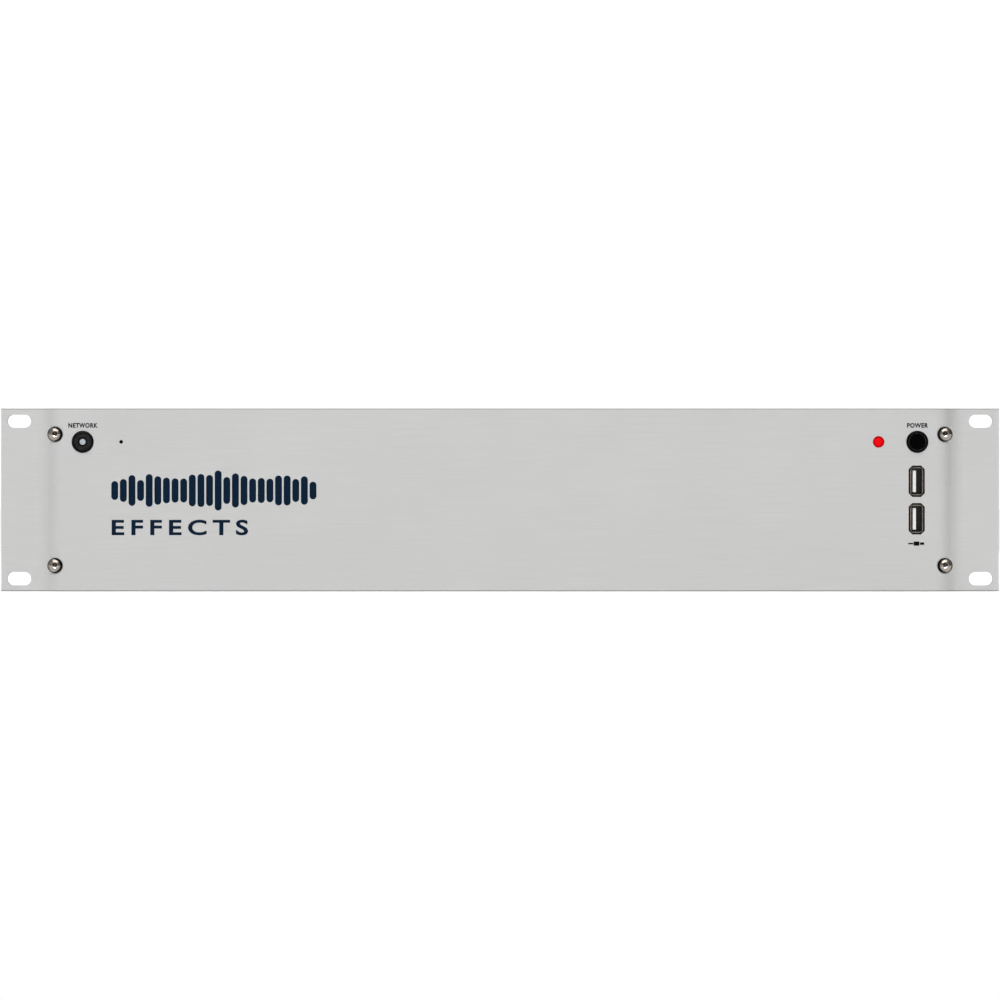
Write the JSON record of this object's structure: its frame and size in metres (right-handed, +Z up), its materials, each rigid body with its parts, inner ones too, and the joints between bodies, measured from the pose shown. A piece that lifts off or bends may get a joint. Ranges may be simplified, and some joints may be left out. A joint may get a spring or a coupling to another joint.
{
  "type": "rack effects unit",
  "caption": "Two-unit-high audio effects processor for a 19-inch rack: brushed aluminium front panel with push buttons, status lamp and USB sockets, on a steel chassis with rear connectors.",
  "frame": {"origin": "centre of the rack bolt pattern, on the back face of the front panel's ears", "axes": "+X to the right seen from the front, +Y from the front to the back, +Z up"},
  "size_m": [0.4826, 0.3756, 0.0884],
  "materials": {
    "anodised_aluminium": "satin, finely brushed along the panel",
    "black_paint": "fine-textured black powder coat",
    "stainless_steel": "polished",
    "black_screws": "black zinc",
    "zinc_steel": "bright zinc",
    "gloss_black_plastic": "gloss",
    "black_plastic": "matt moulded",
    "window_plastic": "clear lens",
    "red_lamp": "lit red lens",
    "nickel": "nickel plate",
    "jack_plastic": "matt moulded",
    "white_plastic": "satin moulded",
    "gold_contacts": "gold plate",
    "latch_metal": "satin",
    "green_board": "solder mask",
    "chip_plastic": "moulded",
    "bare_aluminium": "extruded",
    "transformer": "varnished laminations",
    "cable_grey": "ribbon insulation",
    "lead_brown": "wire insulation",
    "fuse_glass": "clear"
  },
  "bodies": {
    "chassis": {"front_panel": "anodised_aluminium", "chassis_tray": "black_paint", "top_cover": "black_paint", "rear_panel": "black_paint", "expansion_slot_covers": "black_paint", "front_panel_screws": "stainless_steel", "rear_screws": "black_screws", "top_cover_screws": "black_screws", "fan_screws": "black_screws", "clinch_nuts": "zinc_steel", "front_board_spacers": "zinc_steel", "board_spacers": "zinc_steel", "board_screws": "zinc_steel", "front_switches": "black_plastic", "mains_inlet": "black_plastic", "mains_switch_frame": "black_plastic", "xlr_input_inserts": "black_plastic", "xlr_output_inserts": "black_plastic", "multipin_inserts": "black_plastic", "midi_sockets": "black_plastic", "fan_frames": "black_plastic", "board_connectors": "black_plastic", "status_led": "red_lamp", "front_usb_shells": "nickel", "xlr_input_shells": "nickel", "xlr_output_shells": "nickel", "multipin_shells": "nickel", "multipin_posts": "nickel", "coax_sockets": "nickel", "socket_nuts": "nickel", "ethernet_socket": "nickel", "usb_b_socket": "nickel", "mains_inlet_pins": "nickel", "xlr_output_pins": "nickel", "front_usb_contacts": "nickel", "jack_sockets": "jack_plastic", "front_usb_tongues": "white_plastic", "ethernet_contacts": "gold_contacts", "front_board": "green_board", "main_board": "green_board", "power_supply_board": "green_board", "processor_boards": "green_board", "processor_chips": "chip_plastic", "processor_heat_sinks": "bare_aluminium", "power_supply_heat_sinks": "bare_aluminium", "capacitors": "bare_aluminium", "power_supply_transformer": "transformer", "ribbon_cable": "cable_grey", "mains_leads": "lead_brown"},
    "power_button": {"power_button": "gloss_black_plastic"},
    "network_button": {"network_button": "black_plastic", "network_button_window": "window_plastic"},
    "reset_plunger": {"reset_plunger": "black_plastic"},
    "fan_rotor_front": {"fan_rotor_front": "black_plastic"},
    "fan_rotor_rear": {"fan_rotor_rear": "black_plastic"},
    "mains_switch_rocker": {"mains_switch_rocker": "black_plastic"},
    "fuse_drawer": {"fuse_drawer": "black_plastic", "fuse": "fuse_glass"},
    "xlr_latch_left": {"xlr_latch_left": "latch_metal"},
    "xlr_latch_right": {"xlr_latch_right": "latch_metal"}
  },
  "joints": [
    {"name": "power_button_press", "type": "slide", "parent": "chassis", "child": "power_button", "axis": [0, 1, 0], "range_m": [0, 0.002], "stiffness_N_per_m": 1000, "springref_m": -0.001},
    {"name": "network_button_press", "type": "slide", "parent": "chassis", "child": "network_button", "axis": [0, 1, 0], "range_m": [0, 0.002], "stiffness_N_per_m": 1000, "springref_m": -0.001},
    {"name": "reset_press", "type": "slide", "parent": "chassis", "child": "reset_plunger", "axis": [0, 1, 0], "range_m": [0, 0.0005], "stiffness_N_per_m": 2000, "springref_m": -0.0005},
    {"name": "fan_front_spin", "type": "hinge", "parent": "chassis", "child": "fan_rotor_front", "pos_m": [-0.206, 0.12, -0.004], "axis": [1, 0, 0], "continuous": true},
    {"name": "fan_rear_spin", "type": "hinge", "parent": "chassis", "child": "fan_rotor_rear", "pos_m": [-0.206, 0.2, -0.004], "axis": [1, 0, 0], "continuous": true},
    {"name": "mains_switch_rock", "type": "hinge", "parent": "chassis", "child": "mains_switch_rocker", "pos_m": [0.193, 0.351, 0.0245], "axis": [-1, 0, 0], "range_deg": [0, 20]},
    {"name": "fuse_drawer_slide", "type": "slide", "parent": "chassis", "child": "fuse_drawer", "axis": [0, 1, 0], "range_m": [0, 0.022]},
    {"name": "xlr_latch_left_press", "type": "slide", "parent": "chassis", "child": "xlr_latch_left", "axis": [0, -1, 0], "range_m": [0, 0.002], "stiffness_N_per_m": 500, "springref_m": -0.001},
    {"name": "xlr_latch_right_press", "type": "slide", "parent": "chassis", "child": "xlr_latch_right", "axis": [0, -1, 0], "range_m": [0, 0.002], "stiffness_N_per_m": 500, "springref_m": -0.001}
  ]
}
